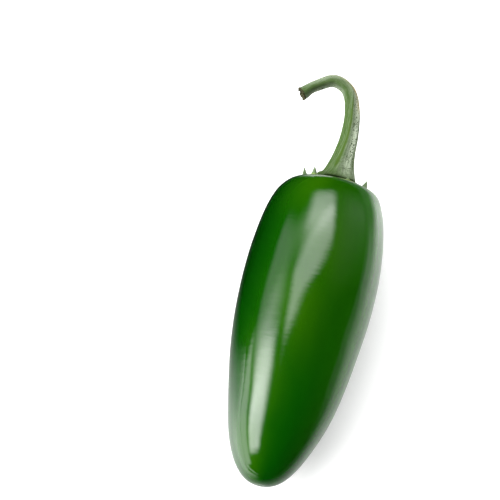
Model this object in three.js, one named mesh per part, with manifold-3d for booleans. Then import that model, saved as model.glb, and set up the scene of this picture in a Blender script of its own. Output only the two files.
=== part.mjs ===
// A fresh green chilli pepper of the jalapeno kind, as picked, lying on its side.
// Millimetres, +Z up. The stem end points along +Y and the tip along -Y. The origin is the middle
// of the small flat spot on the belly that the pepper rests on, which lies in the plane Z = 0.
import * as THREE from "three";
import { mergeVertices } from "three/addons/utils/BufferGeometryUtils.js";
import Module from "manifold-3d";

const wasm = await Module();
wasm.setup();

// Pod: a blunt, glossy fruit, widest over a third of the way down and tapered to a rounded tip
const POD_LENGTH = 77.5;
const POD_RADIUS = 16.5;
const WIDEST_STATION = 28.6; // distance down from the flat top to the widest ring
const SHOULDER_POWER = 5; // how square the shoulder is
const TAPER_POWER = 1.6; // how late the taper starts
const TIP_POWER = 2.36; // how blunt the tip is
const RECESS_DEPTH = 1.7; // of the shallow dish in the top that the calyx sits in
const RECESS_INNER = 6.5;
const RECESS_OUTER = 12;

// Three very shallow furrows run down between the pod's three seed chambers
const FURROW_COUNT = 3;
const FURROW_ANGLE = THREE.MathUtils.degToRad(-20); // from straight up, towards +X
const FURROW_DEPTH = 0.06;
const FURROW_HALF_WIDTH = THREE.MathUtils.degToRad(11);
const LOBE_SWELL = 0.05; // how far each chamber's wall stands out
const LOBES_START = 1; // distance down at which furrows and swells begin
const LOBES_FULL = 14;
const LOBES_FADE = 48; // from here they fade out towards the tip

// How the pod bends and lies
const POD_SWAY = 1.3; // sideways bend of the lower end, towards -X
const SWAY_START = 14; // distance down at which that bend begins
const SIDE_BEND = 0.5; // a slight bend the other way, towards +X
const SIDE_BEND_STATION = 57;
const SIDE_BEND_REACH = 10;
const TOP_LEAN = 0.55; // sideways lean of the very top, towards +X
const LEAN_REACH = 6;
const LIE_ANGLE = THREE.MathUtils.degToRad(2.2); // the stem end lies a little higher than the tip
const REST_STATION = 32.6; // distance down the pod of the middle of its resting spot
const AXIS_HEIGHT = 15.98; // of the pod's axis above the surface, at that station

// Calyx: a thin green saucer that follows the top of the pod, with small pointed teeth on its rim
const CALYX_RADIUS = 8.75;
const CALYX_RIM_WAVE = 0.25;
const CALYX_RIM_WAVES = 5;
const CALYX_RIM_PHASE = 1; // radians
const CALYX_RIM_THICKNESS = 0.7;
const CALYX_CENTRE_THICKNESS = 1.4;
const CALYX_THINS_FROM = 0.55; // as a share of the radius
const TEETH = [
  [168, 2.9, 3.4],
  [128, 1.95, 1.3],
  [68, 0.7, 0.9],
  [23, 2.2, 1.6],
  [-30, 1.7, 1.9],
  [-68, 1.9, 1.9],
  [-108, 1.5, 1.6],
  [-150, 1.8, 1.9],
]; // place round the rim in degrees, from +X towards the upper side, height and width
const TOOTH_ROOT = 0.9; // how far a tooth is sunk into the rim
const TOOTH_THICKNESS = 1.1;
const TOOTH_LEAN = THREE.MathUtils.degToRad(11); // outwards

// Stem: flares out over the calyx, runs on along the pod's axis and curls over sideways
const STEM_END_RADIUS = 1.26;
const STEM_TAPER = 1.05; // what the root is thicker by, without its flare
const STEM_FLARE = 2.75; // how far the foot spreads beyond that
const STEM_FLARE_REACH = 4.5;
const STEM_RIDGES = 5;
const STEM_RIDGE_HEIGHT = 0.06; // as a share of the radius
const STEM_RIDGE_START = THREE.MathUtils.degToRad(5);
const STEM_TWIST = THREE.MathUtils.degToRad(45); // of the ridges from foot to cut end
const BEND_TWIST = THREE.MathUtils.degToRad(50); // more of it round the bend
const BEND_START = 17; // distance from the foot
const BEND_END = 28;
const FOOT_LUMP = 0.8; // a small curled lump that stands out low on the inner side
const FOOT_LUMP_ANGLE = THREE.MathUtils.degToRad(-15);
const FOOT_LUMP_REACH = THREE.MathUtils.degToRad(22);
const FOOT_LUMP_DISTANCE = 1.1;
const FOOT_LUMP_LENGTH = 0.55;
const END_SWELL = 0.6; // the cut end is a little swollen on its inner side
const END_SWELL_LENGTH = 2.6;
const STEM_FOOT_BEVEL = 0.35;
const STEM_CUT_BEVEL = 0.35;
const STEM_CUT_DISH = 0.3; // how far the pith has sunk in the cut end
const STEM_ROUTE = [
  [0.3, 0, 0],
  [0.4, 2, 0],
  [0.62, 6.5, 0.2],
  [0.88, 12, 0.8],
  [0.2, 18.2, 1.5],
  [-2.05, 23.35, 2.3],
  [-5.75, 24.65, 3],
  [-9.65, 22.4, 3.45],
  [-12.8, 19.8, 3.9],
]; // from the foot to the cut end, in the crown's frame

const PIECE_GAP = 0.3; // between pieces that touch

// Facets
const POD_SIDES = 60;
const POD_RINGS = 46;
const CALYX_SIDES = 60;
const STEM_SIDES = 30;
const STEM_RINGS = 44;

const smoothstep = (low, high, x) => THREE.MathUtils.smoothstep(x, low, high);

// 1 at the middle, falling off to both sides
const bell = (value, middle, reach) => Math.exp(-(((value - middle) / reach) ** 2));

// An angle brought to between minus and plus half a turn
const signedAngle = (angle) =>
  THREE.MathUtils.euclideanModulo(angle + Math.PI, 2 * Math.PI) - Math.PI;

// A closed skin over rings of points, each ring with the same number of points. The first and the
// last ring are closed with a fan to the point given for that end.
function loft(rings, firstPoint, lastPoint) {
  const sides = rings[0].length;
  const points = [...rings.flat(), firstPoint, lastPoint];
  const faces = [];
  const first = rings.length * sides;
  const last = first + 1;
  for (let side = 0; side < sides; side++) {
    const next = (side + 1) % sides;
    faces.push(first, side, next);
    for (let ring = 0; ring < rings.length - 1; ring++) {
      const a = ring * sides;
      const b = a + sides;
      faces.push(a + side, b + next, a + next);
      faces.push(a + side, b + side, b + next);
    }
    const end = (rings.length - 1) * sides;
    faces.push(last, end + next, end + side);
  }
  const geometry = new THREE.BufferGeometry().setFromPoints(points);
  geometry.setIndex(faces);
  geometry.computeVertexNormals();
  return geometry;
}

function toSolid(geometry) {
  const bare = geometry.clone();
  bare.deleteAttribute("normal");
  bare.deleteAttribute("uv");
  const merged = mergeVertices(bare);
  return new wasm.Manifold(
    new wasm.Mesh({
      numProp: 3,
      vertProperties: merged.attributes.position.array,
      triVerts: new Uint32Array(merged.index.array),
    }),
  );
}

function toGeometry(solid) {
  const mesh = solid.getMesh();
  const geometry = new THREE.BufferGeometry();
  geometry.setAttribute("position", new THREE.BufferAttribute(mesh.vertProperties, 3));
  geometry.setIndex(new THREE.BufferAttribute(mesh.triVerts, 1));
  geometry.computeVertexNormals();
  return geometry;
}

// The pod's outline from the middle of its top (0) to its tip (1), as radius and distance down
class PodOutline extends THREE.Curve {
  getPoint(share, target = new THREE.Vector3()) {
    const quarter = Math.PI / 2;
    if (share < 0.5) {
      const turn = 2 * share * quarter;
      const radius = POD_RADIUS * Math.sin(turn) ** (2 / SHOULDER_POWER);
      return target.set(radius, WIDEST_STATION * (1 - Math.cos(turn)), 0);
    }
    const turn = Math.min((2 * share - 1) * quarter, quarter);
    const radius = POD_RADIUS * Math.max(Math.cos(turn), 0) ** (2 / TIP_POWER);
    const along = Math.sin(turn) ** (2 / TAPER_POWER);
    return target.set(radius, WIDEST_STATION + (POD_LENGTH - WIDEST_STATION) * along, 0);
  }
}

// How far the recess sinks the top of the pod at a radius
const recess = (radius) => RECESS_DEPTH * (1 - smoothstep(RECESS_INNER, RECESS_OUTER, radius));

// Height of the top of the pod at a radius, measured along the axis towards the stem
function podTop(radius) {
  const shareOut = Math.min(radius / POD_RADIUS, 1);
  const down = WIDEST_STATION * (1 - Math.sqrt(1 - shareOut ** SHOULDER_POWER));
  return -down - recess(radius);
}

// Radial shape of the pod round its axis: swelling chambers with a furrow between each two
function lobeOffset(angle, down) {
  const turn = (2 * Math.PI) / FURROW_COUNT;
  const around = THREE.MathUtils.euclideanModulo(angle - FURROW_ANGLE + turn / 2, turn) - turn / 2;
  const furrow = FURROW_DEPTH * bell(around, 0, FURROW_HALF_WIDTH);
  const swell = -LOBE_SWELL * Math.cos((2 * Math.PI * around) / turn);
  const rise = smoothstep(LOBES_START, LOBES_FULL, down);
  const fall = 1 - smoothstep(LOBES_FADE, POD_LENGTH, down);
  return rise * fall * (swell - furrow);
}

// Sideways place of the pod's middle line
function sway(down) {
  const lean = TOP_LEAN * (1 - smoothstep(0, LEAN_REACH, down));
  const bend = SIDE_BEND * bell(down, SIDE_BEND_STATION, SIDE_BEND_REACH);
  return lean + bend - POD_SWAY * smoothstep(SWAY_START, POD_LENGTH, down);
}

// Puts a point given in the pod's own frame, with the top of the pod at the origin, where it lies
const SIDEWAYS = new THREE.Vector3(1, 0, 0);
const podPlace = new THREE.Vector3(0, REST_STATION, 0)
  .applyAxisAngle(SIDEWAYS, LIE_ANGLE)
  .add(new THREE.Vector3(0, 0, AXIS_HEIGHT));
const layDown = (point) => point.applyAxisAngle(SIDEWAYS, LIE_ANGLE).add(podPlace);

function podGeometry() {
  const outline = new PodOutline();
  outline.arcLengthDivisions = 2000;
  const stations = outline.getSpacedPoints(POD_RINGS + 1).slice(1, -1);
  const place = (x, y, z) => {
    const point = layDown(new THREE.Vector3(x, y, z));
    point.z = Math.max(point.z, 0); // the belly is pressed flat where it rests
    return point;
  };
  const rings = stations.map((station) => {
    const radius = station.x;
    const down = station.y;
    const height = down < WIDEST_STATION ? podTop(radius) : -down;
    return Array.from({ length: POD_SIDES }, (_, side) => {
      const angle = (2 * Math.PI * side) / POD_SIDES;
      const out = radius + lobeOffset(angle, down);
      return place(out * Math.sin(angle) + sway(down), height, out * Math.cos(angle));
    });
  });
  const top = place(sway(0), -RECESS_DEPTH, 0);
  const tip = place(sway(POD_LENGTH), -POD_LENGTH, 0);
  return loft(rings, top, tip);
}

// Thickness of the calyx, from its centre out to its rim
function calyxThickness(share) {
  const thinned = smoothstep(CALYX_THINS_FROM, 1, share);
  return THREE.MathUtils.lerp(CALYX_CENTRE_THICKNESS, CALYX_RIM_THICKNESS, thinned);
}
const calyxUnder = (radius) => podTop(radius) + PIECE_GAP;
const calyxRim = (angle) =>
  CALYX_RADIUS + CALYX_RIM_WAVE * Math.cos(CALYX_RIM_WAVES * angle + CALYX_RIM_PHASE);

function calyxSaucer() {
  const underShares = [0.25, 0.5, 0.75, 0.92, 1];
  const upperShares = [1, 0.93, 0.85, 0.75, 0.65, 0.55, 0.3];
  const ring = (share, height) =>
    Array.from({ length: CALYX_SIDES }, (_, side) => {
      const angle = (2 * Math.PI * side) / CALYX_SIDES;
      const radius = share * calyxRim(angle);
      return new THREE.Vector3(
        radius * Math.cos(angle),
        height(radius, share),
        radius * Math.sin(angle),
      );
    });
  const under = underShares.map((share) => ring(share, calyxUnder));
  const upper = upperShares.map((share) =>
    ring(share, (radius) => calyxUnder(radius) + calyxThickness(share)),
  );
  const middle = calyxUnder(0);
  return loft(
    [...under, ...upper],
    new THREE.Vector3(0, middle, 0),
    new THREE.Vector3(0, middle + CALYX_CENTRE_THICKNESS, 0),
  );
}

function calyxTooth(angle, height, width) {
  const tooth = new THREE.ConeGeometry(0.5, height + TOOTH_ROOT, 8);
  tooth.scale(TOOTH_THICKNESS, 1, width);
  tooth.translate(0, (height - TOOTH_ROOT) / 2, 0);
  tooth.rotateZ(-TOOTH_LEAN);
  const out = calyxRim(angle) - TOOTH_THICKNESS / 2;
  tooth.translate(out, calyxUnder(out) + CALYX_RIM_THICKNESS, 0);
  tooth.rotateY(-angle);
  return tooth;
}

function calyxGeometry() {
  let calyx = toSolid(calyxSaucer());
  for (const [place, height, width] of TEETH) {
    const angle = THREE.MathUtils.degToRad(place);
    calyx = calyx.add(toSolid(calyxTooth(angle, height, width)));
  }
  return toGeometry(calyx);
}

// Radius of the stem at a distance from its foot
function stemRadius(distance, length) {
  const taper = STEM_TAPER * (1 - distance / length);
  return STEM_END_RADIUS + taper + STEM_FLARE * Math.exp(-distance / STEM_FLARE_REACH);
}

// Radius of the stem at an angle round it, with its ridges, the lump at its foot and its swollen
// end. The angle is 0 on the inner side of the bend and minus a quarter turn on the upper side.
function stemShape(angle, distance, length) {
  const inBend = BEND_TWIST * smoothstep(BEND_START, BEND_END, distance);
  const turn = angle - STEM_RIDGE_START + (STEM_TWIST * distance) / length + inBend;
  const ridges = 1 + STEM_RIDGE_HEIGHT * Math.cos(STEM_RIDGES * turn);
  const nearLump = bell(signedAngle(angle - FOOT_LUMP_ANGLE), 0, FOOT_LUMP_REACH);
  const lump = FOOT_LUMP * nearLump * bell(distance, FOOT_LUMP_DISTANCE, FOOT_LUMP_LENGTH);
  const nearEnd = smoothstep(length - END_SWELL_LENGTH, length, distance);
  const swell = END_SWELL * nearEnd * (0.5 + 0.5 * Math.cos(angle));
  return stemRadius(distance, length) * ridges + lump + swell;
}

function stemGeometry() {
  const foot = calyxUnder(0) + CALYX_CENTRE_THICKNESS + PIECE_GAP;
  const route = new THREE.CatmullRomCurve3(
    STEM_ROUTE.map(([x, y, z]) => new THREE.Vector3(x, y + foot, z)),
  );
  const length = route.getLength();
  const frames = route.computeFrenetFrames(STEM_RINGS, false);
  const ringAt = (step, shrink, shift) => {
    const share = step / STEM_RINGS;
    const centre = route.getPointAt(share).addScaledVector(frames.tangents[step], shift);
    return Array.from({ length: STEM_SIDES }, (_, side) => {
      const angle = (2 * Math.PI * side) / STEM_SIDES;
      const out = stemShape(angle, share * length, length) - shrink;
      return centre
        .clone()
        .addScaledVector(frames.binormals[step], out * Math.cos(angle))
        .addScaledVector(frames.normals[step], out * Math.sin(angle));
    });
  };
  const rings = [ringAt(0, STEM_FOOT_BEVEL, 0), ringAt(0, 0, STEM_FOOT_BEVEL)];
  for (let step = 1; step <= STEM_RINGS; step++) rings.push(ringAt(step, 0, 0));
  rings.push(ringAt(STEM_RINGS, STEM_CUT_BEVEL, STEM_CUT_BEVEL / 2));
  const end = route.getPointAt(1).addScaledVector(frames.tangents[STEM_RINGS], -STEM_CUT_DISH);
  return loft(rings, route.getPointAt(0), end);
}

const podSkin = new THREE.MeshStandardMaterial({
  color: new THREE.Color(0.02, 0.13, 0.01),
  roughness: 0.16,
  metalness: 0,
});
const calyxGreen = new THREE.MeshStandardMaterial({
  color: new THREE.Color(0.16, 0.3, 0.08),
  roughness: 0.6,
  metalness: 0,
});
const stemGreen = new THREE.MeshStandardMaterial({
  color: new THREE.Color(0.2, 0.33, 0.12),
  roughness: 0.65,
  metalness: 0,
});

// The crown's frame: its origin is the middle of the pod's top, and +Y runs out along the stem
const crown = new THREE.Group();
crown.position.copy(podPlace).add(new THREE.Vector3(sway(0), 0, 0));
crown.rotation.x = LIE_ANGLE;

const pod = new THREE.Mesh(podGeometry(), podSkin);
pod.name = "pod";
const calyx = new THREE.Mesh(calyxGeometry(), calyxGreen);
calyx.name = "calyx";
const stem = new THREE.Mesh(stemGeometry(), stemGreen);
stem.name = "stem";

crown.add(calyx, stem);
const pepper = new THREE.Group();
pepper.add(pod, crown);

export default pepper;
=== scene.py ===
# %% [markdown]
# A fresh green chilli pepper
#
# A short, blunt, glossy chilli lies on its side on a white table. Its solids are already made and
# packed as a frame, with one node for each grown part: the pod, the calyx, which is the thin green
# disc that the stalk grows from, and the stem. This lesson grows each part again as a finer mesh in
# the same place, gives it its finish, and then builds the studio round it.
#
# The frame comes first, because every piece has to stay inside it. Blender works in metres here and
# a pepper is measured in millimetres, so sizes are written as `77.5 * MM`.

import math

import bmesh
import bpy
from mathutils import Matrix, Vector, noise
from mathutils.geometry import interpolate_bezier


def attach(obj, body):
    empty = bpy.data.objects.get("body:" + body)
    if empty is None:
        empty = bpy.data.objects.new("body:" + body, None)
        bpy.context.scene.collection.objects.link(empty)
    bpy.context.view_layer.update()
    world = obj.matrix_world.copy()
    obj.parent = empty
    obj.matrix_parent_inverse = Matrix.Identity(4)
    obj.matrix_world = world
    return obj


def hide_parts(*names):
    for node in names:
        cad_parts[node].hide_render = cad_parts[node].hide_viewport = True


MM = 0.001

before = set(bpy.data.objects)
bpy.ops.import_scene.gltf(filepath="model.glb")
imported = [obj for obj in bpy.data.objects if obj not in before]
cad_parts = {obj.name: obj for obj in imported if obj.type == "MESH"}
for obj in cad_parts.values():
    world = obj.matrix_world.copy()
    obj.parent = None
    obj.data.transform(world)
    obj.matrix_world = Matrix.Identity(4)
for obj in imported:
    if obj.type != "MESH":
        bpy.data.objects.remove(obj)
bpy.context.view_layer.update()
print("frame nodes:", sorted(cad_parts))

# %% [markdown]
# Camera
#
# The pepper is seen from high above, from the side of its tip, through a long lens, so that the
# sides of the pod stay almost parallel. The camera is set by what it looks at: a point inside the
# pod, how far away it is, and the two angles round that point. That point isn't in the middle of
# the picture. The camera is turned by the two small angles that bring it there, because a turned
# camera shows nearly the same picture as a shifted lens and stays right from another side.

# %% Camera
PICTURE_SIDE = 500  # pixels
CAMERA_AZIMUTH = math.radians(12.37)
CAMERA_ELEVATION = math.radians(73)
CAMERA_DISTANCE = 507.9 * MM
CAMERA_TARGET = Vector((0, 6.8, 16)) * MM
TARGET_PIXEL = (311.2, 281.3)  # where the target shows, from the picture's top left corner

camera_data = bpy.data.cameras.new("camera")
camera_data.lens = 150
camera_data.sensor_width = 36
camera_data.clip_start = 0.01
camera_data.clip_end = 20
camera = bpy.data.objects.new("camera", camera_data)
bpy.context.scene.collection.objects.link(camera)
bpy.context.scene.camera = camera

back = Vector((
    math.sin(CAMERA_AZIMUTH) * math.cos(CAMERA_ELEVATION),
    -math.cos(CAMERA_AZIMUTH) * math.cos(CAMERA_ELEVATION),
    math.sin(CAMERA_ELEVATION),
))
right = Vector((math.cos(CAMERA_AZIMUTH), math.sin(CAMERA_AZIMUTH), 0))
facing = Matrix((right, back.cross(right), back)).transposed().to_4x4()
pixels_per_lens = camera_data.lens / camera_data.sensor_width * PICTURE_SIDE
pan = math.atan((TARGET_PIXEL[0] - PICTURE_SIDE / 2) / pixels_per_lens)
tilt = math.atan((TARGET_PIXEL[1] - PICTURE_SIDE / 2) / pixels_per_lens)
camera.matrix_world = (
    Matrix.Translation(CAMERA_TARGET + back * CAMERA_DISTANCE)
    @ facing
    @ Matrix.Rotation(pan, 4, "Y")
    @ Matrix.Rotation(tilt, 4, "X")
)
print("camera at", [round(c / MM) for c in camera.location], "mm")

# %% [markdown]
# Shape of the pod
#
# On the real fruit the pod is one smooth skin: broad rounded shoulders, a long taper and a blunt
# tip. Seen from the side, its outline is half of a rounded box at the shoulders and a slim egg
# below. A power of a sine gives both, and the power says how square or how slim the curve is. It
# could also be drawn as a Bezier curve, but these few named numbers are easier to set right.
#
# The top sinks a little where the stalk grows from it. The inside is divided in three chambers, and
# the skin swells over each and has a shallow furrow between them. The whole pod bends slightly.
# These are small, so each is a formula that moves the skin after it has been turned.

# %% Outline of the pod
POD_LENGTH = 77.5 * MM
POD_RADIUS = 16.5 * MM
WIDEST_STATION = 28.6 * MM  # from the top of the pod
SHOULDER_POWER = 5
TAPER_POWER = 1.6
TIP_POWER = 2.36
RECESS_DEPTH = 1.7 * MM
RECESS_INNER = 6.5 * MM
RECESS_OUTER = 12 * MM


def smoothstep(low, high, x):
    """0 at low, 1 at high, and a smooth climb between them. It falls where high is the smaller."""
    share = min(max((x - low) / (high - low), 0), 1)
    return share * share * (3 - 2 * share)


def pod_top(radius):
    """Height of the top of the pod at a radius, along the pod's axis towards the stalk."""
    share = min(radius / POD_RADIUS, 1)
    down = WIDEST_STATION * (1 - math.sqrt(1 - share**SHOULDER_POWER))
    return -down - RECESS_DEPTH * (1 - smoothstep(RECESS_INNER, RECESS_OUTER, radius))


def pod_outline(share):
    """Radius and distance down at a share of the way from the middle of the top to the tip."""
    if share < 0.5:
        turn = share * math.pi
        radius = POD_RADIUS * math.sin(turn) ** (2 / SHOULDER_POWER)
        return radius, WIDEST_STATION * (1 - math.cos(turn))
    turn = (share - 0.5) * math.pi
    radius = POD_RADIUS * max(math.cos(turn), 0) ** (2 / TIP_POWER)
    along = math.sin(turn) ** (2 / TAPER_POWER)
    return radius, WIDEST_STATION + (POD_LENGTH - WIDEST_STATION) * along


print("the top sinks in mm:", RECESS_DEPTH / MM)

# %% [markdown]
# The formula bunches its points where the curve is tight. For even faces the outline is measured
# first, on a very fine copy, and then divided in equal steps. The stem needs the same later, with
# the direction of its middle line at each step.

# %% Even stations along the outline
OUTLINE_STEPS = 4000  # of the fine copy
POD_RINGS = 190


def stations_along(fine, count):
    """Place, direction and distance of evenly spaced stations along a line of fine points."""
    lengths = [0]
    for before, after in zip(fine, fine[1:]):
        lengths.append(lengths[-1] + (after - before).length)
    stations, at = [], 0
    for step in range(count + 1):
        wanted = lengths[-1] * step / count
        while at < len(fine) - 2 and lengths[at + 1] < wanted:
            at += 1
        share = (wanted - lengths[at]) / (lengths[at + 1] - lengths[at])
        direction = (fine[at + 1] - fine[at]).normalized()
        stations.append((fine[at].lerp(fine[at + 1], share), direction, wanted))
    return stations


fine_outline = [Vector(pod_outline(step / OUTLINE_STEPS)) for step in range(OUTLINE_STEPS + 1)]
pod_stations = [place for place, _, _ in stations_along(fine_outline, POD_RINGS)]
widest = max(radius for radius, _ in pod_stations)
print("pod outline:", len(pod_stations), "points, widest", round(widest / MM, 2), "mm")

# %% [markdown]
# The pod's formulas below work in its own frame: its top is the origin, its axis runs down -Y, and
# angles turn from straight up (+Z) to the right (+X). `crown_frame` takes that frame to where the
# calyx and the stalk grow, and `pod_frame` takes it to where the pod lies on the table.

# %% Swelling, furrows, bend and place of the pod
FURROW_COUNT = 3
FURROW_ANGLE = math.radians(-20)
FURROW_DEPTH = 0.06 * MM
FURROW_HALF_WIDTH = math.radians(11)
LOBE_SWELL = 0.05 * MM
LOBES_START = 1 * MM
LOBES_FULL = 14 * MM
LOBES_FADE = 48 * MM
POD_SWAY = 1.3 * MM
SWAY_START = 14 * MM
SIDE_BEND = 0.5 * MM
SIDE_BEND_STATION = 57 * MM
SIDE_BEND_REACH = 10 * MM
TOP_LEAN = 0.55 * MM
LEAN_REACH = 6 * MM
LIE_ANGLE = math.radians(2.2)
REST_STATION = 32.6 * MM
AXIS_HEIGHT = 15.98 * MM


def lobe_offset(angle, down):
    """How far the skin stands out over a chamber, or in at a furrow."""
    turn = 2 * math.pi / FURROW_COUNT
    around = (angle - FURROW_ANGLE + turn / 2) % turn - turn / 2
    furrow = FURROW_DEPTH * math.exp(-((around / FURROW_HALF_WIDTH) ** 2))
    swell = -LOBE_SWELL * math.cos(2 * math.pi * around / turn)
    rise = smoothstep(LOBES_START, LOBES_FULL, down)
    fall = 1 - smoothstep(LOBES_FADE, POD_LENGTH, down)
    return rise * fall * (swell - furrow)


def bell(value, middle, reach):
    """1 at the middle, falling off to both sides."""
    return math.exp(-(((value - middle) / reach) ** 2))


def sway(down):
    """Sideways place of the pod's middle line."""
    lean = TOP_LEAN * (1 - smoothstep(0, LEAN_REACH, down))
    bend = SIDE_BEND * bell(down, SIDE_BEND_STATION, SIDE_BEND_REACH)
    return lean + bend - POD_SWAY * smoothstep(SWAY_START, POD_LENGTH, down)


lying = Matrix.Rotation(LIE_ANGLE, 4, "X")
pod_place = lying @ Vector((0, REST_STATION, 0)) + Vector((0, 0, AXIS_HEIGHT))
pod_frame = Matrix.Translation(pod_place) @ lying
crown_frame = Matrix.Translation(pod_place + Vector((sway(0), 0, 0))) @ lying
print("top of the pod in mm:", [round(c / MM, 2) for c in pod_place])

# %% [markdown]
# The pod's mesh
#
# One vertex is extruded along the outline, point by point, and the line that it leaves is spun all
# the way round the axis, as on a lathe. The spin brings the copies of both end points together, so
# they are merged to one. The calyx is spun in the same way, so these steps are helpers. The last
# helper makes the finished mesh an object, hangs it under the root body and hides the frame's node
# that it stands in for.

# %% Helpers that spin a line and finish a piece
MERGE_DISTANCE = 0.001 * MM


def draw_line(bm, points):
    """Extrudes a vertex from point to point."""
    tip = bmesh.ops.create_vert(bm, co=points[0])["vert"][0]
    for point in points[1:]:
        tip = bmesh.ops.extrude_vert_indiv(bm, verts=[tip])["verts"][0]
        tip.co = point


def spin_closed(bm, steps):
    """Spins the line that bm holds once round +Y and closes the skin that it leaves."""
    bmesh.ops.spin(
        bm, geom=bm.verts[:] + bm.edges[:], cent=(0, 0, 0), axis=(0, 1, 0), dvec=(0, 0, 0),
        angle=2 * math.pi, steps=steps, use_merge=True, use_duplicate=False,
    )
    bmesh.ops.remove_doubles(bm, verts=bm.verts[:], dist=MERGE_DISTANCE)
    bmesh.ops.recalc_face_normals(bm, faces=bm.faces[:])


def finish_piece(bm, name, node):
    """Makes the bmesh an object under the root body, and hides the node of the frame that it stands
    for.
    """
    for face in bm.faces:
        face.smooth = True
    mesh = bpy.data.meshes.new(name)
    bm.to_mesh(mesh)
    bm.free()
    piece = bpy.data.objects.new(name, mesh)
    bpy.context.scene.collection.objects.link(piece)
    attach(piece, "root")
    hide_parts(node)
    low, high = (Vector(map(pick, zip(*(v.co for v in mesh.vertices)))) for pick in (min, max))
    print(name, len(mesh.polygons), "faces,", [round(c / MM, 1) for c in low],
          "to", [round(c / MM, 1) for c in high], "mm")
    return piece


# %% [markdown]
# The green of a ripening pod isn't even, and light and shade are painted into it as well. Its
# upper side has begun to turn yellow, and the yellow marks also paint light: brighter and warmer
# where the top faces the light, with a warm painted reflection under the highlights. The left
# flank is darker, which is painted shade, and the right flank paler, which is painted light. An
# image could be painted for this, but a few soft marks are enough. Each has a middle and a reach,
# round the pod and down it. The mesh carries how strongly it is marked at each vertex, and the
# finish reads that later.

# %% Colour marks on the pod
# Yellowing, with painted light on the lit top and a warm painted reflection under the highlights
RIPE_AND_LIT_MARKS = (
    # angle and reach round the pod in degrees, distance and reach down it in mm, strength
    (-15, 25, 3, 10, 1), (8, 30, 18, 18, 0.9), (-2, 26, 36, 14, 1),
    (-22, 24, 54, 12, 1), (-30, 26, 70, 10, 1),
)
# Painted shade on the left flank, and painted light on the right flank
PAINTED_SHADE_MARKS = ((-78, 40, 20, 34, 1),)
PAINTED_LIGHT_MARKS = ((62, 36, 10, 22, 1), (66, 28, 40, 30, 0.8))


def marked(marks, angle, distance):
    """The strongest of some soft marks at an angle round a part and a distance along it."""
    return max(
        strength
        * bell(math.remainder(math.degrees(angle) - middle, 360), 0, reach)
        * bell(distance / MM, along, length)
        for middle, reach, along, length, strength in marks
    )


print("yellow on top, half way down:", round(marked(RIPE_AND_LIT_MARKS, 0, POD_LENGTH / 2), 2))

# %% [markdown]
# A fine grid of rings is used instead of a subdivision modifier, because reflections on glossy skin
# show every bump, and this way each is where the formulas put it.
#
# No real skin is quite even. A slow noise moves it by less than a tenth of a millimetre, which the
# eye sees only in the way that the highlights waver. The dried scar of the flower is a small pit at
# the tip. Its own weight presses the belly flat where the pod rests.

# %% Build the pod
POD_STEPS = 240
UNEVEN_HEIGHT = 0.07 * MM
UNEVEN_SIZE = 9 * MM
SCAR_DEPTH = 0.25 * MM
SCAR_RADIUS = 0.9 * MM
POLE_FADE = 3 * MM  # the unevenness fades out towards the axis at both ends

bm = bmesh.new()
draw_line(bm, [(0, -down, radius) for radius, down in pod_stations])
spin_closed(bm, POD_STEPS)
skin_layer = bm.verts.layers.float_vector.new("skin")
ripe_and_lit_layer = bm.verts.layers.float.new("ripe_and_lit")
painted_shade_layer = bm.verts.layers.float.new("painted_shade_flank")
painted_light_layer = bm.verts.layers.float.new("painted_light_flank")
for vert in bm.verts:
    radius, down = math.hypot(vert.co.x, vert.co.z), -vert.co.y
    angle = math.atan2(vert.co.x, vert.co.z)
    round_place = Vector((math.sin(angle), math.cos(angle), 0)) * POD_RADIUS
    vert[skin_layer] = round_place + Vector((0, 0, down))
    # Yellow with painted light and painted reflection, and the flanks' painted shade and painted
    # light
    vert[ripe_and_lit_layer] = marked(RIPE_AND_LIT_MARKS, angle, down)
    vert[painted_shade_layer] = marked(PAINTED_SHADE_MARKS, angle, down)
    vert[painted_light_layer] = marked(PAINTED_LIGHT_MARKS, angle, down)
    near_axis = smoothstep(0, POLE_FADE, radius)
    uneven = UNEVEN_HEIGHT * near_axis * noise.noise(vert[skin_layer] / UNEVEN_SIZE)
    out = radius + lobe_offset(angle, down) + uneven
    if down < WIDEST_STATION:
        height = pod_top(radius)
    else:
        height = -down + SCAR_DEPTH * math.exp(-((radius / SCAR_RADIUS) ** 2))
    vert.co = (out * math.sin(angle) + sway(down), height, out * math.cos(angle))
bmesh.ops.transform(bm, matrix=pod_frame, verts=bm.verts[:])
for vert in bm.verts:
    vert.co.z = max(vert.co.z, 0)
pod = finish_piece(bm, "pod_skin_piece", "pod")

# %% [markdown]
# The calyx
#
# The calyx is what is left of the flower: a thin disc draped over the top of the pod, with small
# pointed teeth along its rim, one at the end of each vein. It follows the top of the pod at a small
# gap, and its rim is waved a little.

# %% Shape of the calyx
CALYX_GAP = 0.08 * MM
CALYX_RADIUS = 8.75 * MM
CALYX_RIM_WAVE = 0.25 * MM
CALYX_RIM_WAVES = 5
CALYX_RIM_PHASE = 1
CALYX_RIM_THICKNESS = 0.42 * MM
CALYX_CENTRE_THICKNESS = 1.4 * MM
CALYX_THINS_FROM = 0.55  # share of the radius
VEIN_HEIGHT = 0.16 * MM
VEIN_HALF_WIDTH = 0.42 * MM
TEETH = (
    # angle from +X towards the upper side in degrees, height in mm, width of the root in mm
    (168, 2.9, 3.4), (128, 1.95, 1.3), (68, 0.7, 0.9), (23, 2.2, 1.6),
    (-30, 1.7, 1.9), (-68, 1.9, 1.9), (-108, 1.5, 1.6), (-150, 1.8, 1.9),
)


def angle_between(first, second):
    """The smaller angle from the second to the first, with its sign."""
    return math.remainder(first - second, 2 * math.pi)


def calyx_rim(angle):
    """Radius of the rim at an angle."""
    return CALYX_RADIUS + CALYX_RIM_WAVE * math.cos(CALYX_RIM_WAVES * angle + CALYX_RIM_PHASE)


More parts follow.
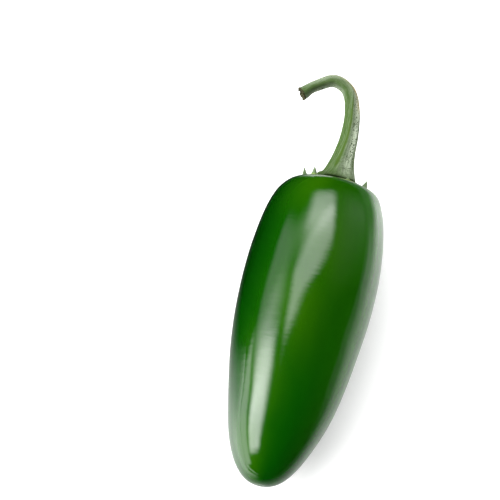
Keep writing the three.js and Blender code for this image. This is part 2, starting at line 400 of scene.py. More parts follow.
def calyx_thickness(share):
    """Thickness of the disc at a share of its radius."""
    thinned = smoothstep(CALYX_THINS_FROM, 1, share)
    return CALYX_CENTRE_THICKNESS + (CALYX_RIM_THICKNESS - CALYX_CENTRE_THICKNESS) * thinned


def vein(angle, radius):
    """Height of the vein that runs out to the nearest tooth."""
    away = min(abs(angle_between(angle, math.radians(place))) for place, _, _ in TEETH)
    return VEIN_HEIGHT * bell(away * radius, 0, VEIN_HALF_WIDTH)


rims = [calyx_rim(math.radians(degree)) / MM for degree in range(360)]
print("calyx rim from", round(min(rims), 2), "to", round(max(rims), 2), "mm, teeth:", len(TEETH))

# %% [markdown]
# The disc is spun from its section as the pod was from its outline. The section is drawn with the
# radius and the height as shares, and each vertex is then moved to its real place. Each vertex
# keeps its share of the radius, because the colour changes towards the rim.

# %% Disc of the calyx
CALYX_STEPS = 360
UNDERSIDE_STEPS = 14
UPPER_STEPS = 40
VEIN_START = 0.3  # shares of the radius
VEIN_FULL = 0.6

# The section, as (share of the rim's radius, share of the thickness), from the underside's middle
# round the rim to the middle of the upper side
calyx_section = [(step / UNDERSIDE_STEPS, 0) for step in range(UNDERSIDE_STEPS)]
calyx_section += [(0.985, 0), (1, 0.18), (1.006, 0.5), (1, 0.82), (0.985, 1)]
calyx_section += [(step / UPPER_STEPS, 1) for step in range(UPPER_STEPS - 1, -1, -1)]

bm = bmesh.new()
draw_line(bm, [(0, lift * MM, share * CALYX_RADIUS) for share, lift in calyx_section])
spin_closed(bm, CALYX_STEPS)
rim_layer = bm.verts.layers.float.new("rim_share")
for vert in bm.verts:
    share = math.hypot(vert.co.x, vert.co.z) / CALYX_RADIUS
    lift = vert.co.y / MM
    angle = math.atan2(vert.co.z, vert.co.x)
    radius = share * calyx_rim(angle)
    vein_height = vein(angle, radius) * smoothstep(VEIN_START, VEIN_FULL, share)
    thickness = calyx_thickness(share) + vein_height
    vert.co = (
        radius * math.cos(angle),
        pod_top(radius) + CALYX_GAP + lift * thickness,
        radius * math.sin(angle),
    )
    vert[rim_layer] = share
print("calyx disc:", len(bm.faces), "faces")

# %% [markdown]
# Each tooth is drawn out of the rim itself, so that no seam shows: the faces of the rim under it
# are extruded a few times, and every time they are made narrower, down to a point. Cones set on the
# rim would be quicker, but each would show a hard line where it goes in.

# %% Teeth of the calyx
TOOTH_THICKNESS = 1.45 * MM
TOOTH_LEAN = math.radians(11)
TOOTH_STEPS = 9
TOOTH_POINT = 0.06  # width left at the point, as a share of the root
TOOTH_HOLLOW = 0.08  # how much the sides curve in
LEAST_UPWARD = 0.1  # of the normal of a face on the upper side
DISC_END = 1.01  # vertices with a larger share of the radius belong to a tooth


def tooth_root(bm, angle, width):
    """The faces of the disc's upper side that a tooth grows from."""
    half_turn = width / 2 / CALYX_RADIUS
    inner_share = 1 - TOOTH_THICKNESS / CALYX_RADIUS
    root = []
    for face in bm.faces:
        if face.normal.y < LEAST_UPWARD or any(v[rim_layer] > DISC_END for v in face.verts):
            continue
        centre = face.calc_center_median()
        turn = abs(angle_between(math.atan2(centre.z, centre.x), angle))
        share = math.hypot(centre.x, centre.z) / calyx_rim(angle)
        if turn < half_turn and share > inner_share:
            root.append(face)
    return root


def draw_tooth(bm, angle, height, root_faces):
    """Extrudes the faces of the rim under a tooth to its point."""
    middle = sum((face.calc_center_median() for face in root_faces), Vector()) / len(root_faces)
    outwards = Vector((math.cos(angle), 0, math.sin(angle)))
    upwards = Vector((0, 1, 0)) * math.cos(TOOTH_LEAN) + outwards * math.sin(TOOTH_LEAN)
    width = 1
    faces = root_faces
    for step in range(1, TOOTH_STEPS + 1):
        share = step / TOOTH_STEPS
        grown = bmesh.ops.extrude_face_region(bm, geom=faces)["geom"]
        faces = [part for part in grown if isinstance(part, bmesh.types.BMFace)]
        verts = [part for part in grown if isinstance(part, bmesh.types.BMVert)]
        bmesh.ops.translate(bm, verts=verts, vec=upwards * height / TOOTH_STEPS)
        straight = 1 - share * (1 - TOOTH_POINT)
        narrower = straight * (1 - TOOTH_HOLLOW * math.sin(math.pi * share))
        centre = middle + upwards * height * share
        bmesh.ops.scale(
            bm, verts=verts, vec=(narrower / width,) * 3, space=Matrix.Translation(-centre)
        )
        width = narrower
        for vert in verts:
            vert[rim_layer] = 1 + share


for place, tooth_height, tooth_width in TEETH:
    angle = math.radians(place)
    root_faces = tooth_root(bm, angle, tooth_width * MM)
    print("tooth at", place, "degrees grows from", len(root_faces), "faces")
    draw_tooth(bm, angle, tooth_height * MM, root_faces)
bmesh.ops.transform(bm, matrix=crown_frame, verts=bm.verts[:])
bmesh.ops.recalc_face_normals(bm, faces=bm.faces[:])
calyx = finish_piece(bm, "calyx_piece", "calyx")

# %% [markdown]
# The stem
#
# The stem is a ridged stalk. It flares like a trumpet where it grows from the calyx, runs on along
# the pod and curls over sideways to the end where it was cut. Its middle line is a smooth curve
# through a few points. A curve object with a bevel would follow it, but it couldn't flare in ridges
# that twist, so one ring is extruded along the line and each new ring is shaped where it lands.

# %% Middle line of the stem
STEM_ROUTE = [
    Vector(point) * MM
    for point in (
        (0.3, 0, 0), (0.4, 2, 0), (0.62, 6.5, 0.2), (0.88, 12, 0.8), (0.2, 18.2, 1.5),
        (-2.05, 23.35, 2.3), (-5.75, 24.65, 3), (-9.65, 22.4, 3.45), (-12.8, 19.8, 3.9),
    )
]
STEM_RINGS = 150
ROUTE_STEPS = 60  # fine points between two of the route's


def smooth_route(points):
    """Fine points of a smooth curve through the given ones, slowing down round tight bends."""
    ends = [2 * points[0] - points[1]] + points + [2 * points[-1] - points[-2]]
    steps = [math.sqrt((after - before).length) for before, after in zip(ends, ends[1:])]
    slopes = []
    for at in range(1, len(ends) - 1):
        into, out = steps[at - 1], steps[at]
        arrive = (ends[at] - ends[at - 1]) / into
        leave = (ends[at + 1] - ends[at]) / out
        slopes.append(arrive + leave - (ends[at + 1] - ends[at - 1]) / (into + out))
    fine = [points[0]]
    for at in range(len(points) - 1):
        reach = steps[at + 1] / 3
        fine += interpolate_bezier(
            points[at], points[at] + slopes[at] * reach,
            points[at + 1] - slopes[at + 1] * reach, points[at + 1], ROUTE_STEPS,
        )[1:]
    return fine


stem_stations = stations_along(smooth_route(STEM_ROUTE), STEM_RINGS)
stem_length = stem_stations[-1][2]
print("stem length in mm:", round(stem_length / MM, 1))

# %% [markdown]
# Five broad ridges run up the stem and turn slowly round it, with finer grooves between them. The
# angle round the stem is measured from the inner side of its bend, and -90 degrees is its upper
# side. The foot has a small curled lump on one side, and the cut end is swollen on its inner side.
# All of this could be sculpted, but as a formula of the angle and of the distance from the foot it
# can be changed number by number.

# %% Shape of the stem
STEM_END_RADIUS = 1.26 * MM
STEM_TAPER = 1.05 * MM
STEM_FLARE = 2.75 * MM
STEM_FLARE_REACH = 4.5 * MM
STEM_RIDGES = 5
STEM_RIDGE_HEIGHT = 0.06  # this, the grooves and the knobbles are shares of the radius
STEM_RIDGE_START = math.radians(5)
STEM_TWIST = math.radians(45)
BEND_TWIST = math.radians(50)
BEND_START = 17 * MM
BEND_END = 28 * MM
GROOVES = 23
GROOVE_DEPTH = 0.012
GROOVE_WANDER = 1.5
GROOVE_WANDERS = 3
KNOBBLE = 0.035
KNOBBLE_SIZE = 1.3 * MM
KNOBBLE_STRETCH = 4
FOOT_LUMP = 0.8 * MM
FOOT_LUMP_ANGLE = math.radians(-15)
FOOT_LUMP_REACH = math.radians(22)
FOOT_LUMP_DISTANCE = 1.1 * MM
FOOT_LUMP_LENGTH = 0.55 * MM
END_SWELL = 0.6 * MM
END_SWELL_LENGTH = 2.6 * MM


def stem_radius(distance):
    """Radius of the stem without its ridges."""
    taper = STEM_TAPER * (1 - distance / stem_length)
    flare = STEM_FLARE * math.exp(-distance / STEM_FLARE_REACH)
    return STEM_END_RADIUS + taper + flare


def twisted(angle, distance):
    """An angle round the stem as it would be if the stem were untwisted."""
    in_bend = BEND_TWIST * smoothstep(BEND_START, BEND_END, distance)
    return angle + STEM_TWIST * distance / stem_length + in_bend


def ridge_height(angle, distance):
    """1 on the back of a ridge and -1 in the groove between two."""
    return math.cos(STEM_RIDGES * (twisted(angle, distance) - STEM_RIDGE_START))


def stem_shape(angle, distance):
    """Radius of the stem at an angle round it and a distance from its foot."""
    turn = twisted(angle, distance)
    wander = GROOVE_WANDER * math.sin(GROOVE_WANDERS * turn)
    groove = GROOVE_DEPTH * math.cos(GROOVES * turn + wander)
    radius = stem_radius(distance)
    along = distance / KNOBBLE_STRETCH
    place = Vector((math.cos(turn) * radius, math.sin(turn) * radius, along))
    uneven = KNOBBLE * noise.noise(place / KNOBBLE_SIZE)
    lump = FOOT_LUMP * bell(distance, FOOT_LUMP_DISTANCE, FOOT_LUMP_LENGTH)
    lump *= bell(angle_between(angle, FOOT_LUMP_ANGLE), 0, FOOT_LUMP_REACH)
    swell = END_SWELL * smoothstep(stem_length - END_SWELL_LENGTH, stem_length, distance)
    swell *= 0.5 + 0.5 * math.cos(angle)
    ridges = STEM_RIDGE_HEIGHT * ridge_height(angle, distance)
    return radius * (1 + ridges + groove + uneven) + lump + swell


for name, distance in (("foot", 0), ("middle", stem_length / 2), ("end", stem_length)):
    print("radius at the", name, "in mm:", round(stem_radius(distance) / MM, 2))

# %% [markdown]
# The mesh of the stem also carries what its finish needs to know: how high a point is on its ridge,
# how much pale bloom lies on it, which also carries painted light and a painted reflection, where
# painted shade darkens it, and where it has turned tan. The last three are soft marks, as on the
# pod.

# %% Colour marks on the stem
# Pale bloom, also painted light on the outer side and a painted table reflection on the inner side
BLOOM_AND_LIGHT_MARKS = (
    # angle and reach round the stem in degrees, distance and reach along it in mm, strength
    (-122, 34, 4, 3.5, 0.55), (-143, 40, 11, 8, 1), (-155, 44, 18, 7, 1),
    (-12, 34, 26, 4, 0.55), (-15, 40, 32, 6, 0.6), (-165, 40, 29, 6, 0.75),
)
# Painted shade where the foot meets the calyx, and along a groove near the cut end
STEM_SHADE_MARKS = ((-84, 20, 33, 3, 0.6), (-30, 40, 0, 0.9, 0.9), (-100, 60, 0, 0.5, 0.7))
TAN_MARKS = ((-176, 30, 24, 3, 1), (-160, 24, 19.5, 2, 0.5))
RIDGE_COLOUR_FULL = 4 * MM  # the ridges show their colour from here
RIDGE_COLOUR_FADES = 20 * MM
RIDGE_COLOUR_END = 27 * MM


def ridge_colour(angle, distance):
    """How strongly a ridge shows its colour, or below 0 how dark a groove is painted, as painted
    shade.
    """
    rise = smoothstep(0, RIDGE_COLOUR_FULL, distance)
    fall = smoothstep(RIDGE_COLOUR_END, RIDGE_COLOUR_FADES, distance)
    return ridge_height(angle, distance) * (rise * fall)


print("marks on the stem:", len(BLOOM_AND_LIGHT_MARKS + STEM_SHADE_MARKS + TAN_MARKS))

# %% [markdown]
# The skin starts as one ring of edges. Each new ring is made from the one before by extruding its
# edges. A vertex remembers its angle round the stem, and the extrusion copies it, so each ring can
# be moved to where the formula says. The frames of the rings turn as little as possible from one to
# the next, so that the skin doesn't twist by itself in the bend.

# %% Skin of the stem, ring by ring
STEM_SIDES = 144
STEM_FOOT_BEVEL = 0.35 * MM
STEM_FOOT_ROUND = 0.1 * MM


def ring_frames(stations):
    """A frame for each ring, turned as little as possible from one to the next."""
    across = Vector((-1, 0, 0))
    before = stations[0][1]
    frames = []
    for centre, direction, _ in stations:
        across = before.rotation_difference(direction) @ across
        before = direction
        axes = Matrix((across, direction.cross(across), direction)).transposed()
        frames.append(Matrix.Translation(centre) @ axes.to_4x4())
    return frames


bm = bmesh.new()
turn_layer = bm.verts.layers.float.new("turn")
fibre_layer = bm.verts.layers.float_vector.new("fibre")
ridge_layer = bm.verts.layers.float.new("ridge")
bloom_and_light_layer = bm.verts.layers.float.new("bloom_and_light")
stem_shade_layer = bm.verts.layers.float.new("dark")
tan_layer = bm.verts.layers.float.new("tan")
cut_layer = bm.verts.layers.float.new("cut")
bmesh.ops.create_circle(bm, segments=STEM_SIDES, radius=1)
for vert in bm.verts:
    vert[turn_layer] = math.atan2(-vert.co.y, vert.co.x)


def place_ring(verts, ring_frame, distance, shrink=0, shift=0):
    """Moves a ring's vertices to where the stem's shape puts them."""
    for vert in verts:
        angle = vert[turn_layer]
        out = stem_shape(angle, distance) - shrink
        vert.co = ring_frame @ Vector((out * math.cos(angle), -out * math.sin(angle), shift))
        turn = twisted(angle, distance)
        vert[fibre_layer] = (math.cos(turn), math.sin(turn), distance / MM)
        vert[ridge_layer] = ridge_colour(angle, distance)
        # The bloom marks also carry painted light and a painted reflection, the dark marks painted
        # shade
        vert[bloom_and_light_layer] = marked(BLOOM_AND_LIGHT_MARKS, angle, distance)
        vert[stem_shade_layer] = marked(STEM_SHADE_MARKS, angle, distance)
        vert[tan_layer] = marked(TAN_MARKS, angle, distance)


def extrude_ring(bm, edges):
    """Extrudes a ring of edges and returns the new ring's vertices and edges."""
    grown = bmesh.ops.extrude_edge_only(bm, edges=edges)["geom"]
    verts = [part for part in grown if isinstance(part, bmesh.types.BMVert)]
    edges = [part for part in grown if isinstance(part, bmesh.types.BMEdge)]
    return verts, edges


frames = ring_frames(stem_stations)
place_ring(bm.verts, frames[0], 0, shrink=STEM_FOOT_BEVEL)
verts, edges = extrude_ring(bm, bm.edges[:])
place_ring(verts, frames[0], 0, shrink=STEM_FOOT_ROUND, shift=STEM_FOOT_ROUND)
for ring_frame, (_, _, distance) in zip(frames[1:], stem_stations[1:]):
    verts, edges = extrude_ring(bm, edges)
    place_ring(verts, ring_frame, distance)
print("stem skin:", len(bm.faces), "faces,", len(verts), "vertices in a ring")

# %% [markdown]
# The cut end has dried to a brown rim with torn fibres round a paler, sunken pith. The last ring is
# drawn inwards in a few more extrusions, and a noise tears the rim up and down. Two holes are left
# then, a wide one under the foot and a small one in the pith. Each is filled with one face, and a
# vertex is poked into its middle, which makes it a fan of triangles. At last the whole stem is moved
# to the crown of the pod.

# %% Cut end of the stem
CUT_RINGS = (
    # share of the radius, height beyond the last ring in mm, how ragged in mm
    (1.07, 0.10, 0.12), (1.06, 0.34, 0.40), (0.94, 0.48, 0.60), (0.82, 0.25, 0.45),
    (0.68, -0.05, 0.30), (0.50, -0.20, 0.25), (0.32, -0.25, 0.20), (0.14, -0.25, 0.10),
)
CUT_NOISE_SIZE = 0.45
CUT_SPREAD = 0.25  # how much the torn fibres lean in and out
SKIN_END = 1.04  # rings with a larger share are still half skin
SKIN_DRIED = 0.75
PITH_FRESHER = 0.8
PITH_START = 0.9
PITH_FULL = 0.3
STEM_FOOT = 0.3 * MM  # above the middle of the pod's top


def dried(share):
    """How far the cut end has dried at a share of its radius."""
    if share > SKIN_END:
        return SKIN_DRIED
    return 1 - PITH_FRESHER * smoothstep(PITH_START, PITH_FULL, share)


for share, height, ragged in CUT_RINGS:
    verts, edges = extrude_ring(bm, edges)
    for vert in verts:
        angle = vert[turn_layer]
        torn = noise.noise(Vector((math.cos(angle), math.sin(angle), share)) / CUT_NOISE_SIZE)
        out = stem_shape(angle, stem_length) * share * (1 + CUT_SPREAD * torn * ragged)
        lift = (height + ragged * torn) * MM
        vert.co = frames[-1] @ Vector((out * math.cos(angle), -out * math.sin(angle), lift))
        vert[fibre_layer] = (math.cos(angle) * share, math.sin(angle) * share, stem_length / MM)
        vert[cut_layer] = dried(share)
bmesh.ops.holes_fill(bm, edges=bm.edges[:], sides=0)
caps = [face for face in bm.faces if len(face.verts) > 4]
bmesh.ops.poke(bm, faces=caps)
bmesh.ops.translate(bm, verts=bm.verts[:], vec=(0, STEM_FOOT, 0))
bmesh.ops.transform(bm, matrix=crown_frame, verts=bm.verts[:])
bmesh.ops.recalc_face_normals(bm, faces=bm.faces[:])
stem = finish_piece(bm, "stem_piece", "stem")

# %% [markdown]
# Finishes
#
# A material is a tree of nodes that ends in a shader. The trees below are built by a few helpers,
# each of which adds one node and returns its output, so that a finish reads from the top to the
# bottom: which patterns there are, how they blend the colours, and how they roughen the surface.

# %% Helpers for materials
COLOUR_INPUTS, COLOUR_OUTPUT = (6, 7), 2  # where a Mix node keeps its colour sockets


def put(tree, kind, inputs=(), **settings):
    """Adds a node. Each input is linked if it is given a socket, and set otherwise."""
    made = tree.nodes.new(kind)
    for name, value in settings.items():
        setattr(made, name, value)
    for name, value in dict(inputs).items():
        if isinstance(value, bpy.types.NodeSocket):
            tree.links.new(value, made.inputs[name])
        else:
            made.inputs[name].default_value = value
    return made


def attribute(tree, name):
    """What the mesh carries under a name."""
    return put(tree, "ShaderNodeAttribute", attribute_name=name)


def stretched(tree, vector, scale):
    """A vector with its three sides multiplied, so that a pattern read on it is stretched."""
    mapping = put(tree, "ShaderNodeMapping", {"Vector": vector, "Scale": scale})
    return mapping.outputs["Vector"]


def patches(tree, vector, scale, detail=3, roughness=0.5):
    """A noise between 0 and 1."""
    made = put(
        tree, "ShaderNodeTexNoise",
        {"Vector": vector, "Scale": scale, "Detail": detail, "Roughness": roughness},
    )
    return made.outputs["Fac"]


def between(tree, value, low, high, to_low=0, to_high=1):
    """Moves a value from one range to another, smoothly and within it."""
    made = put(
        tree, "ShaderNodeMapRange",
        {"Value": value, "From Min": low, "From Max": high, "To Min": to_low, "To Max": to_high},
        interpolation_type="SMOOTHSTEP",
    )
    return made.outputs["Result"]


def calculate(tree, operation, first, second=0.0):
    """The sum, product or other result of one or two numbers."""
    made = put(tree, "ShaderNodeMath", {0: first, 1: second}, operation=operation)
    return made.outputs["Value"]


def blend_colours(tree, share, first, second):
    """The first colour where share is 0, and the second where it is 1."""
    made = put(tree, "ShaderNodeMix", {"Factor": share}, data_type="RGBA")
    for place, value in zip(COLOUR_INPUTS, (first, second)):
        if isinstance(value, bpy.types.NodeSocket):
            tree.links.new(value, made.inputs[place])
        else:
            made.inputs[place].default_value = (*value, 1)
    return made.outputs[COLOUR_OUTPUT]


def new_finish(name, piece):
    """An empty material on a piece, and the shader that its nodes end in."""
    material = bpy.data.materials.new(name)
    material.use_nodes = True
    piece.data.materials.clear()
    piece.data.materials.append(material)
    return material.node_tree, material.node_tree.nodes["Principled BSDF"]


def connect(tree, output, socket):
    """Links an output to a socket of the shader."""
    tree.links.new(output, socket)


def raise_relief(tree, shader, height, strength, distance):
    """Lets light fall on a surface as if a pattern stood out of it."""
    bump = put(
        tree, "ShaderNodeBump", {"Height": height, "Strength": strength, "Distance": distance}
    )
    connect(tree, bump.outputs["Normal"], shader.inputs["Normal"])


# %% [markdown]
# The skin of a fresh chilli is a clear waxy layer over deep green flesh. A Principled shader with a
# dark saturated colour and a low roughness gives both: the colour scatters back from inside and the
# wax reflects. The colour drifts between two greens in slow patches that run along the pod, so a
# noise is read on the skin's own coordinates, which the mesh carries in its `skin` attribute, and
# stretched along the pod. The marks then blend in the painted shade and painted light of the
# flanks, and the yellow with its painted light and painted reflection.
#
# The wax isn't a mirror either. Very fine wrinkles run crosswise round the pod, so a second noise is
# stretched the other way. Their relief is a hundredth of a millimetre or so, and it shows only in
# the ragged edges of the highlights.

# %% Skin of the pod
DEEP_GREEN = (0.0010, 0.056, 0.0003)
BLUE_GREEN = (0.0008, 0.052, 0.0006)
# Painted shade for the left flank
PAINTED_SHADE_GREEN = (0.0003, 0.018, 0.0002)
# Painted light for the right flank
PAINTED_LIGHT_GREEN = (0.0180, 0.140, 0.0010)
# Yellowing, which also stands for painted light and a warm painted reflection
YELLOW_GREEN = (0.0190, 0.092, 0.0003)
DRIFT_SCALE = 110  # about as many patches in a metre
WRINKLE_SCALE = 900
WAX_ROUGHNESS = (0.07, 0.11)
WAX_IOR = 1.5
WRINKLE_HEIGHT = 0.02 * MM

tree, shader = new_finish("pod_skin", pod)
skin = attribute(tree, "skin").outputs["Vector"]
slow = patches(tree, stretched(tree, skin, (1, 1, 0.35)), DRIFT_SCALE, detail=2)
fine = patches(tree, stretched(tree, skin, (1, 1, 0.6)), WRINKLE_SCALE, detail=4)
cross = patches(tree, stretched(tree, skin, (0.2, 0.2, 1)), WRINKLE_SCALE, detail=2)
colour = blend_colours(tree, between(tree, slow, 0.55, 0.35), DEEP_GREEN, BLUE_GREEN)
# The flanks: painted shade on the left, painted light on the right
for layer, flank_colour in (("painted_shade_flank", PAINTED_SHADE_GREEN), ("painted_light_flank", PAINTED_LIGHT_GREEN)):
    colour = blend_colours(tree, attribute(tree, layer).outputs["Fac"], colour, flank_colour)
# The yellow, partly painted light and painted reflection, broken up by the slow noise
ripe_and_lit = attribute(tree, "ripe_and_lit").outputs["Fac"]
uneven_ripe_and_lit = calculate(tree, "MULTIPLY", ripe_and_lit, between(tree, slow, 0.3, 0.6, 0.75, 1))
colour = blend_colours(tree, uneven_ripe_and_lit, colour, YELLOW_GREEN)
connect(tree, colour, shader.inputs["Base Color"])
connect(tree, between(tree, fine, 0.3, 0.7, *WAX_ROUGHNESS), shader.inputs["Roughness"])
shader.inputs["IOR"].default_value = WAX_IOR
relief = calculate(tree, "ADD", cross, calculate(tree, "MULTIPLY", fine, 0.2))
raise_relief(tree, shader, relief, 1, WRINKLE_HEIGHT)
print("pod skin:", len(tree.nodes), "nodes")

# %% [markdown]
# The calyx is matte. It is mid green in the middle and a paler yellow-green at the rim, its teeth
# are greyer, and a fine speckle lies over all of it. The rim and the teeth are found by the share
# of the radius that each vertex keeps.

# %% Finish of the calyx
CALYX_MIDDLE = (0.060, 0.140, 0.030)
CALYX_RIM = (0.200, 0.290, 0.060)
CALYX_SPECKLE = (0.070, 0.150, 0.030)
TOOTH_GREEN = (0.125, 0.190, 0.085)
SPECKLE_SCALE = 2500
SPECKLE_HEIGHT = 0.06 * MM

tree, shader = new_finish("calyx_green", calyx)
place = put(tree, "ShaderNodeTexCoord").outputs["Object"]
rim_share = attribute(tree, "rim_share").outputs["Fac"]
speckle = patches(tree, place, SPECKLE_SCALE, detail=5)
colour = blend_colours(tree, between(tree, rim_share, 0.7, 1.05), CALYX_MIDDLE, CALYX_RIM)
colour = blend_colours(tree, between(tree, rim_share, 1.05, 1.3), colour, TOOTH_GREEN)
colour = blend_colours(tree, between(tree, speckle, 0.45, 0.7, 0, 0.7), colour, CALYX_SPECKLE)
connect(tree, colour, shader.inputs["Base Color"])
shader.inputs["Roughness"].default_value = 0.6
raise_relief(tree, shader, speckle, 0.5, SPECKLE_HEIGHT)
print("calyx:", len(tree.nodes), "nodes")

# %% [markdown]
# The stem is matte too, with lengthwise fibres. Greyer streaks run along it, the backs of the ridges
# are a cleaner, yellower green, and the grooves between them are darker, as painted shade. A pale
# bloom lies on some sides, broken up by flecks and small dark pits, and its marks also paint light
# on the outer side and a reflection of the table on the inner side. Painted shade darkens the foot
# where it meets the calyx, and a groove near the cut end. The outer side of the bend has turned tan,
# and the cut end is brown and woody with a paler pith. The patterns are read on the `fibre`
# attribute, which twists with the ridges.

# %% Finish of the stem
STEM_GREEN = (0.045, 0.098, 0.015)
# Dark of the pits, and of the painted shade in the grooves and at the foot
STEM_PITS_AND_SHADE = (0.020, 0.042, 0.006)
STEM_RIDGE = (0.048, 0.100, 0.005)
# Pale bloom, which also stands for painted light and a painted reflection of the table
STEM_BLOOM_AND_LIGHT = (0.640, 0.720, 0.560)
STEM_GREY = (0.105, 0.155, 0.065)
STEM_TAN = (0.450, 0.270, 0.030)
CUT_BROWN = (0.020, 0.018, 0.008)
CUT_PITH = (0.130, 0.130, 0.060)
STREAK_SCALE = 9  # round the stem, whose circle has a radius of 1 here
FLECK_SCALE = 11
PIT_SCALE = 6.5
FIBRE_HEIGHT = 0.15 * MM

tree, shader = new_finish("stem_green", stem)
fibre = attribute(tree, "fibre").outputs["Vector"]
ridge = attribute(tree, "ridge").outputs["Fac"]
bloom_and_light = attribute(tree, "bloom_and_light").outputs["Fac"]
dark = attribute(tree, "dark").outputs["Fac"]
tan = attribute(tree, "tan").outputs["Fac"]
cut = attribute(tree, "cut").outputs["Fac"]
lengthwise = stretched(tree, fibre, (1, 1, 0.07))
streaks = patches(tree, lengthwise, STREAK_SCALE, detail=4, roughness=0.6)
flecks = patches(tree, stretched(tree, fibre, (1, 1, 0.4)), FLECK_SCALE, detail=4, roughness=0.7)
pits = patches(tree, stretched(tree, fibre, (1, 1, 0.35)), PIT_SCALE, detail=2)

# The grooves between the ridges are painted darker, as painted shade
colour = blend_colours(tree, between(tree, ridge, 0, -1, 0, 0.25), STEM_GREEN, STEM_PITS_AND_SHADE)
colour = blend_colours(tree, between(tree, streaks, 0.40, 0.62, 0, 0.8), colour, STEM_GREY)
colour = blend_colours(tree, between(tree, ridge, 0.72, 0.98, 0, 0.9), colour, STEM_RIDGE)
# Bloom with its painted light and painted reflection, thinner on the backs of the ridges
pale = calculate(tree, "MULTIPLY", bloom_and_light, between(tree, flecks, 0.30, 0.60, 0.30, 1))
pale = calculate(tree, "MULTIPLY", pale, between(tree, ridge, 0.5, 0.95, 1, 0.35))
colour = blend_colours(tree, pale, colour, STEM_BLOOM_AND_LIGHT)
# Painted shade at the foot and along a groove near the cut end
colour = blend_colours(tree, dark, colour, STEM_PITS_AND_SHADE)
colour = blend_colours(tree, calculate(tree, "MULTIPLY", tan, 0.85), colour, STEM_TAN)
in_bloom_and_light = between(tree, bloom_and_light, 0.1, 0.6)
holes = calculate(tree, "MULTIPLY", between(tree, pits, 0.56, 0.63), in_bloom_and_light)
colour = blend_colours(tree, holes, colour, STEM_PITS_AND_SHADE)
pith = blend_colours(tree, between(tree, flecks, 0.48, 0.60), CUT_BROWN, CUT_PITH)
colour = blend_colours(tree, between(tree, cut, 0.1, 0.5), colour, pith)
connect(tree, colour, shader.inputs["Base Color"])
shader.inputs["Roughness"].default_value = 0.58
shader.inputs["Specular IOR Level"].default_value = 0.1
relief = calculate(tree, "ADD", streaks, calculate(tree, "MULTIPLY", flecks, 0.5))
relief = calculate(tree, "SUBTRACT", relief, calculate(tree, "MULTIPLY", holes, 0.7))
raise_relief(tree, shader, relief, 0.7, FIBRE_HEIGHT)
print("stem:", len(tree.nodes), "nodes")

# %% [markdown]
# Table and light
#
# The table is a plain white plane. It is a light table: a lamp under it makes it shine a little, so
# that shadows on it stay soft and pale.

# %% Table
TABLE_SIDE = 12  # metres
TABLE_WHITE = 0.84
TABLE_GLOW = 0.5


def lay_sheet(name, side, height):
    """A square sheet that lies level round the origin and isn't part of the pepper."""
    bm = bmesh.new()
    bmesh.ops.create_grid(bm, x_segments=1, y_segments=1, size=side / 2)
    bmesh.ops.translate(bm, verts=bm.verts[:], vec=(0, 0, height))
    mesh = bpy.data.meshes.new(name)
    bm.to_mesh(mesh)
    bm.free()
    sheet = bpy.data.objects.new(name, mesh)
    bpy.context.scene.collection.objects.link(sheet)
    return sheet


table = lay_sheet("table", TABLE_SIDE, 0)
tree, shader = new_finish("table_white", table)
shader.inputs["Base Color"].default_value = (TABLE_WHITE, TABLE_WHITE, TABLE_WHITE, 1)
shader.inputs["Roughness"].default_value = 0.7
shader.inputs["Specular IOR Level"].default_value = 0.2
shader.inputs["Emission Color"].default_value = (1, 1, 1, 1)
shader.inputs["Emission Strength"].default_value = TABLE_GLOW
print("table:", TABLE_SIDE, "m wide")

# %% [markdown]
# The rest of the light is a soft studio set painted on the world, which is a sphere at an endless
# distance. Each softbox is a patch with soft edges on a round map of the sky, whose middle is
# straight up and whose rim is the horizon. So all of the table gets the same light, and the shapes
# of the highlights are easy to set. Area lights would do it too, but each would leave a brighter
# spot on the table. Around the softboxes the room is dark, which keeps the greens deep. The camera
# alone sees the world as white, so that the table has no visible end.

# %% Softboxes on the world
# Each patch: its middle, its half sides, its turn in degrees, how soft its edge is, its brightness.
# On the map the middle is 0 and the rim is 1 away from it.
SOFTBOXES = {
    "key": ((-0.07, 0.36), (0.18, 0.12), 9, 0.08, 5.2),
    "key_lower": ((-0.03, 0.17), (0.23, 0.10), 35, 0.05, 5.0),
    "key_left": ((-0.16, 0.27), (0.17, 0.06), 10, 0.08, 2.0),
    "strip": ((-0.42, -0.26), (0.15, 0.19), 17, 0.07, 9.8),
    "strip_middle": ((-0.48, -0.08), (0.14, 0.11), 17, 0.11, 5.2),
    "strip_end": ((-0.54, 0.10), (0.15, 0.20), -20, 0.07, 1.4),
    "panel": ((-0.92, -0.46), (0.31, 0.37), 24, 0.05, 4.1),
    "fill": ((0.57, 0.47), (0.31, 0.15), 23, 0.22, 0.6),
}
BACKDROP_WHITE = 1.0


def soft_patches(tree, across, along, wanted):
    """The sum of soft-edged, turned rectangles on a flat map."""
    total = 0.0
    for (middle_x, middle_y), (half_x, half_y), turn, edge, brightness in wanted.values():
        cos, sin = math.cos(math.radians(turn)), math.sin(math.radians(turn))
        from_x = calculate(tree, "SUBTRACT", across, middle_x)
        from_y = calculate(tree, "SUBTRACT", along, middle_y)
        patch = brightness
        for x_share, y_share, half in ((cos, sin, half_x), (-sin, cos, half_y)):
            place = calculate(
                tree, "ADD",
                calculate(tree, "MULTIPLY", from_x, x_share),
                calculate(tree, "MULTIPLY", from_y, y_share),
            )
            away = calculate(tree, "ABSOLUTE", place)
            inside = between(tree, away, half - edge, half + edge, 1, 0)
            patch = calculate(tree, "MULTIPLY", inside, patch)
        total = calculate(tree, "ADD", patch, total)
    return total


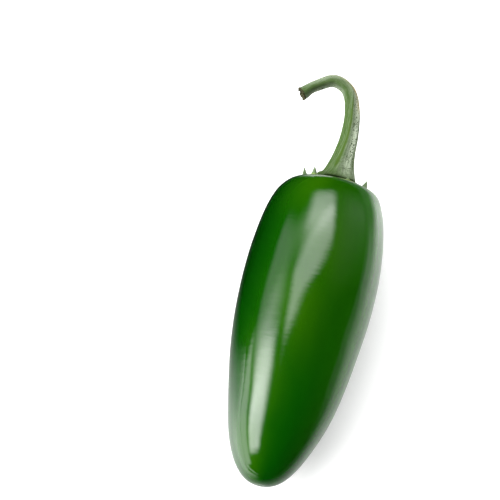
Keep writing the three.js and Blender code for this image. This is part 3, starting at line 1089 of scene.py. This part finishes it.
world = bpy.data.worlds.new("studio")
world.use_nodes = True
bpy.context.scene.world = world
tree = world.node_tree
direction = put(tree, "ShaderNodeTexCoord").outputs["Generated"]
sides = put(tree, "ShaderNodeSeparateXYZ", {"Vector": direction}).outputs
flatten = calculate(tree, "ADD", sides["Z"], 1)
light = soft_patches(
    tree,
    calculate(tree, "DIVIDE", sides["X"], flatten),
    calculate(tree, "DIVIDE", sides["Y"], flatten),
    SOFTBOXES,
)
seen = put(tree, "ShaderNodeLightPath").outputs["Is Camera Ray"]
strength = put(tree, "ShaderNodeMix", {"Factor": seen, "A": light, "B": BACKDROP_WHITE})
background = tree.nodes["Background"]
connect(tree, strength.outputs["Result"], background.inputs["Strength"])
background.inputs["Color"].default_value = (1, 1, 1, 1)
print("world:", len(SOFTBOXES), "softboxes")

# %% [markdown]
# A glossy skin also mirrors the table, and a white table all round would wash its sides out. In a
# studio, black and white cards are laid round the fruit, just out of the picture. Here one sheet
# does their work. Only reflections see it. It lets the table through where the reflection is as
# bright as the table, darkens it where it is less, and adds light where it is more.

# %% Cards on the table
CARD_SHEET_HEIGHT = 0.4 * MM
CARD_MAP_UNIT = 0.1  # metres
TABLE_RADIANCE = 1.8  # how bright the table itself looks in a reflection
# The cards are given as the softboxes are, on a map that is the table seen from above
CARDS = {
    "bright_left": ((-0.74, -0.81), (0.46, 0.51), 0, 0.24, 3.3),
    "far_left": ((-6.6, -6.3), (5.4, 6.0), 0, 0.24, 3.5),
    "bright_right": ((0.35, 0.42), (0.11, 0.05), 110, 0.50, 6.8),
    "near_right": ((0.2, -0.2), (0.25, 0.45), 0, 0.35, 0.6),
    "right": ((0.45, 0.0), (1.5, 0.28), 30, 0.20, 0.7),
    "far_right": ((5.0, 4.8), (5.0, 5.2), 0, 0.36, 0.28),
    "far": ((-0.3, 1.2), (0.12, 0.6), 20, 0.07, 2.0),
}

cards = lay_sheet("cards", TABLE_SIDE, CARD_SHEET_HEIGHT)
for kind in ("camera", "diffuse", "transmission", "volume_scatter", "shadow"):
    setattr(cards, "visible_" + kind, False)
tree, shader = new_finish("cards", cards)
place = put(tree, "ShaderNodeTexCoord").outputs["Object"]
sides = put(tree, "ShaderNodeSeparateXYZ", {"Vector": place}).outputs
mirrored = soft_patches(
    tree,
    calculate(tree, "DIVIDE", sides["X"], CARD_MAP_UNIT),
    calculate(tree, "DIVIDE", sides["Y"], CARD_MAP_UNIT),
    CARDS,
)
through = calculate(tree, "MINIMUM", calculate(tree, "DIVIDE", mirrored, TABLE_RADIANCE), 1)
added = calculate(tree, "MAXIMUM", calculate(tree, "SUBTRACT", mirrored, TABLE_RADIANCE), 0)
window = put(tree, "ShaderNodeBsdfTransparent", {"Color": through})
glow = put(tree, "ShaderNodeEmission", {"Strength": added})
both = put(tree, "ShaderNodeAddShader", {0: window.outputs[0], 1: glow.outputs[0]})
connect(tree, both.outputs[0], tree.nodes["Material Output"].inputs["Surface"])
tree.nodes.remove(shader)
print("cards:", len(CARDS))

# %% [markdown]
# Colours of the picture
#
# The colours go to the picture as they are, without a film curve, so that the white table stays
# white and the greens stay saturated.

# %% Finish
bpy.context.scene.view_settings.view_transform = "Standard"
